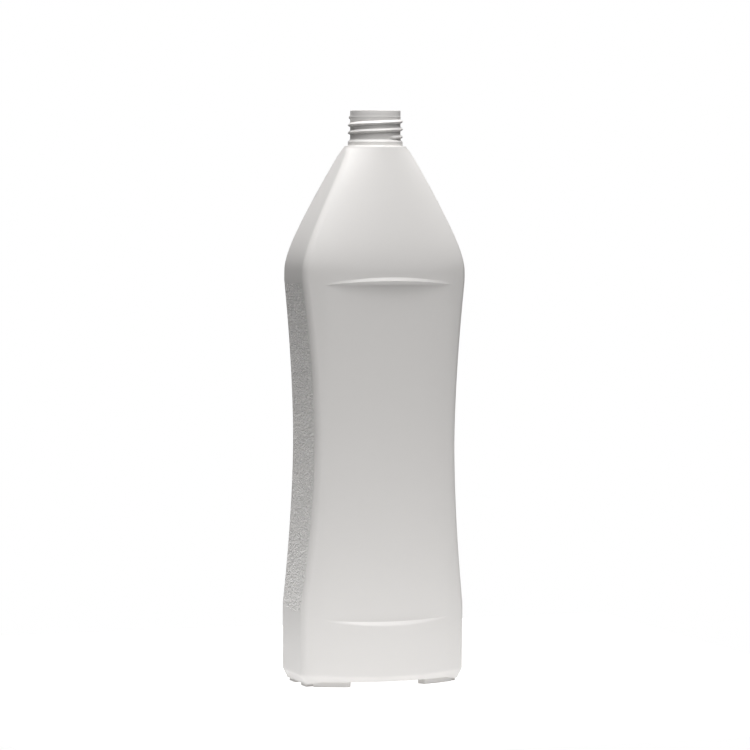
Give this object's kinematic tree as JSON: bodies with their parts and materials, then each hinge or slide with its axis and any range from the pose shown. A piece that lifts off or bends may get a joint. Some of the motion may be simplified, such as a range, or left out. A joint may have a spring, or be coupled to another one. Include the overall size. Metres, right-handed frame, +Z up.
{
  "type": "plastic bottle",
  "caption": "Upright blow-moulded bottle with a waisted grip, a recessed label panel front and back, foot pads and an open threaded neck, for liquids.",
  "frame": {"origin": "middle of the base, on the surface that the foot pads stand on, under the neck's axis", "axes": "+Z up along the neck, +X across the width towards one grip side, front label panel faces -Y"},
  "size_m": [0.0846, 0.054, 0.2815],
  "materials": {
    "body_plastic": "satin off-white polyethylene, finely grained on the two grip sides"
  },
  "bodies": {
    "root": {"bottle": "body_plastic"}
  },
  "joints": []
}
